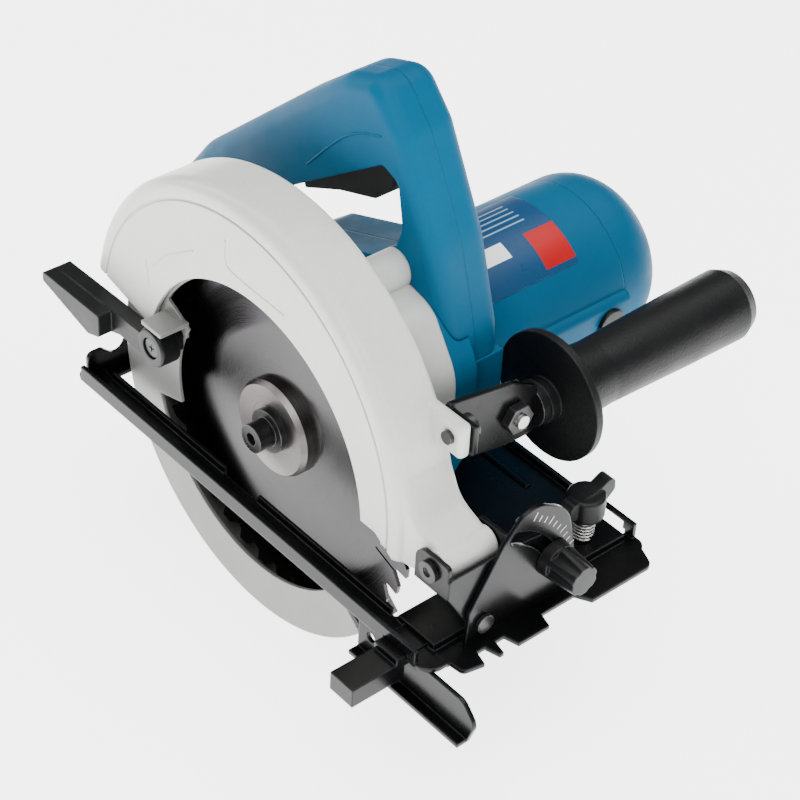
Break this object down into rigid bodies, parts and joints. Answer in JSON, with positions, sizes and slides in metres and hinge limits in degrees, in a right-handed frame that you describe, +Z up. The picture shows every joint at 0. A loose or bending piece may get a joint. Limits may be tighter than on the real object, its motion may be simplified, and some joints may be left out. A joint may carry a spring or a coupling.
{
  "type": "circular saw",
  "caption": "Corded hand-held circular saw with side motor, loop handle, swinging lower guard, tilting base, rip fence and side handle.",
  "frame": {"origin": "on the sole, in the middle plane of the blade, directly below the arbor", "axes": "+X is the cutting direction, +Y points to the motor side, +Z is up; the sole is Z = 0"},
  "size_m": [0.2951, 0.251, 0.2594],
  "materials": {
    "black_painted_steel": "gloss black paint over pressed steel",
    "grey_painted_case": "light warm grey satin paint",
    "guard_grey": "satin grey paint",
    "cast_alloy": "as-cast",
    "blue_plastic": "fine spark texture",
    "black_plastic": "moulded",
    "blade_steel": "ground",
    "zinc_steel": "plated",
    "dark_steel": "blackened",
    "copper_alloy": "machined",
    "carbon": "pressed",
    "label": "printed panel with plain blocks",
    "black_rubber": "moulded"
  },
  "bodies": {
    "base": {"base_plate": "black_painted_steel", "bevel_quadrant": "black_painted_steel", "rear_upright": "black_painted_steel", "base_rivets": "zinc_steel", "fence_screw_spring": "zinc_steel"},
    "tilt_frame": {"front_bracket": "black_painted_steel", "depth_pivot_pin": "dark_steel", "bevel_pins": "dark_steel", "bevel_bolt": "zinc_steel", "depth_guide": "black_painted_steel"},
    "bevel_knob": {"bevel_knob": "black_plastic"},
    "depth_lever": {"depth_lever": "black_plastic"},
    "head": {"blade_case": "grey_painted_case", "gear_housing": "cast_alloy", "bearing_retainer": "cast_alloy", "guard_spring": "zinc_steel", "guard_stop": "black_rubber", "spindle_bearing_front": "zinc_steel", "spindle_bearing_rear": "zinc_steel", "motor_housing": "blue_plastic", "motor_end_cover": "blue_plastic", "armature_bearing_front": "zinc_steel", "armature_bearing_rear": "zinc_steel", "field_core": "dark_steel", "fan_baffle": "black_plastic", "brushes": "carbon", "brush_holders": "black_plastic", "brush_cap": "black_plastic", "label_plate": "label", "handle_right": "blue_plastic", "handle_left": "blue_plastic", "switch_body": "black_plastic", "cord_inlet": "black_rubber", "depth_bolt": "zinc_steel", "side_bracket": "black_painted_steel", "side_bracket_bolts": "zinc_steel", "side_handle": "black_plastic", "side_handle_stud": "dark_steel", "handle_screws": "zinc_steel", "gear_housing_screws": "zinc_steel"},
    "lower_guard": {"lower_guard": "guard_grey", "guard_lever": "black_plastic", "guard_lever_screw": "dark_steel"},
    "blade": {"blade": "blade_steel", "inner_flange": "dark_steel", "outer_flange": "dark_steel", "blade_bolt": "dark_steel", "spindle": "zinc_steel", "spindle_gear": "zinc_steel"},
    "armature": {"armature_shaft": "zinc_steel", "armature_core": "dark_steel", "commutator": "copper_alloy", "fan": "black_plastic"},
    "trigger": {"trigger": "black_plastic"},
    "lock_button": {"lock_button": "black_plastic"},
    "shaft_lock": {"shaft_lock_pin": "zinc_steel"},
    "fence": {"fence_bar": "black_painted_steel", "fence_plate": "black_painted_steel"},
    "fence_screw": {"fence_screw": "black_plastic"}
  },
  "joints": [
    {"name": "bevel_tilt", "type": "hinge", "parent": "base", "child": "tilt_frame", "pos_m": [0, 0, 0.0095], "axis": [1, 0, 0], "range_deg": [0, 45]},
    {"name": "depth_pivot", "type": "hinge", "parent": "tilt_frame", "child": "head", "pos_m": [0.118, 0, 0.038], "axis": [0, 1, 0], "range_deg": [0, 22]},
    {"name": "bevel_knob_turn", "type": "hinge", "parent": "tilt_frame", "child": "bevel_knob", "pos_m": [0.14, 0.0369, 0.02494], "axis": [1, 0, 0], "range_deg": [0, 360]},
    {"name": "depth_lever_turn", "type": "hinge", "parent": "head", "child": "depth_lever", "pos_m": [-0.075, 0.02, 0.035], "axis": [0, -1, 0], "range_deg": [0, 60]},
    {"name": "guard_swing", "type": "hinge", "parent": "head", "child": "lower_guard", "pos_m": [0, 0, 0.0273], "axis": [0, 1, 0], "range_deg": [0, 115], "stiffness_Nm_per_rad": 0.1, "springref_deg": -171.89},
    {"name": "blade_spin", "type": "hinge", "parent": "head", "child": "blade", "pos_m": [0, 0, 0.0273], "axis": [0, 1, 0], "continuous": true},
    {"name": "armature_spin", "type": "hinge", "parent": "head", "child": "armature", "pos_m": [0.008, 0, 0.04916], "axis": [0, 1, 0], "continuous": true},
    {"name": "trigger_pull", "type": "hinge", "parent": "head", "child": "trigger", "pos_m": [0.026, 0.0495, 0.163], "axis": [0, 1, 0], "range_deg": [0, 7], "stiffness_Nm_per_rad": 0.5, "springref_deg": -11.46},
    {"name": "lock_button_press", "type": "slide", "parent": "head", "child": "lock_button", "axis": [0, -1, 0], "range_m": [0, 0.003], "stiffness_N_per_m": 300, "springref_m": -0.003},
    {"name": "shaft_lock_press", "type": "slide", "parent": "head", "child": "shaft_lock", "axis": [-1, 0, 0], "range_m": [0, 0.0025], "stiffness_N_per_m": 400, "springref_m": -0.002},
    {"name": "fence_slide", "type": "slide", "parent": "base", "child": "fence", "axis": [0, -1, 0], "range_m": [0, 0.09]},
    {"name": "fence_screw_turn", "type": "hinge", "parent": "base", "child": "fence_screw", "pos_m": [0.116, 0.072, 0.02], "axis": [0, 0, 1], "range_deg": [0, 360]}
  ],
  "couplings": [
    {"joint": "armature_spin", "follows": "blade_spin", "ratio": -4.4444}
  ]
}
